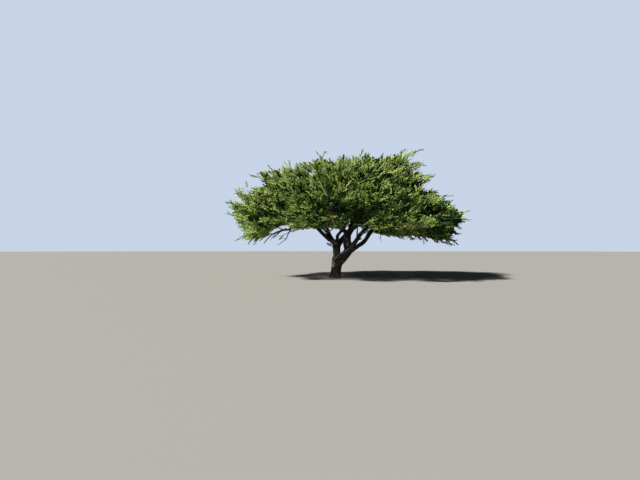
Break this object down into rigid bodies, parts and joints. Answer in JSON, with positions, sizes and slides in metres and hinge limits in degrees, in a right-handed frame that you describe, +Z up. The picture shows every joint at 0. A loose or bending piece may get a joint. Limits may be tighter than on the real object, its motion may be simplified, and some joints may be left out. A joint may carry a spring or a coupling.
{
  "type": "umbrella-crowned thorn tree",
  "caption": "Living thorn tree with a wide, flat-topped umbrella crown of small leaves on a short, leaning, forked trunk.",
  "frame": {"origin": "centre of the flat cut under the trunk, at ground level", "axes": "+Z up along the trunk; +X towards the longer side of the crown, the way the trunk leans; +Y away from the side seen in the picture"},
  "size_m": [12.1708, 10.847, 6.3044],
  "materials": {
    "bark": "rough, fissured",
    "foliage": "matt leaves"
  },
  "bodies": {
    "root": {"back_bough": "bark", "broken_stub": "bark", "east_bough": "bark", "front_bough": "bark", "heart_0": "foliage", "inner_0": "foliage", "inner_1": "foliage", "inner_2": "foliage", "left_stem": "bark", "limb_0": "bark", "limb_1": "bark", "limb_2": "bark", "limb_3": "bark", "limb_4": "bark", "limb_5": "bark", "limb_6": "bark", "limb_7": "bark", "middle_bough": "bark", "middle_left_limb": "bark", "middle_right_limb": "bark", "northwest_limb": "bark", "right_stem": "bark", "shoulder_0": "foliage", "shoulder_1": "foliage", "shoulder_2": "foliage", "shoulder_3": "foliage", "shoulder_4": "foliage", "shoulder_5": "foliage", "shoulder_6": "foliage", "shoulder_7": "foliage", "skirt_0": "foliage", "skirt_1": "foliage", "skirt_2": "foliage", "skirt_3": "foliage", "skirt_4": "foliage", "skirt_5": "foliage", "skirt_6": "foliage", "skirt_7": "foliage", "skirt_8": "foliage", "skirt_9": "foliage", "southeast_bough": "bark", "top_0": "foliage", "top_1": "foliage", "top_2": "foliage", "top_3": "foliage", "top_4": "foliage", "trunk": "bark", "upright_shoot": "bark", "west_bough": "bark", "west_limb": "bark"}
  },
  "joints": []
}
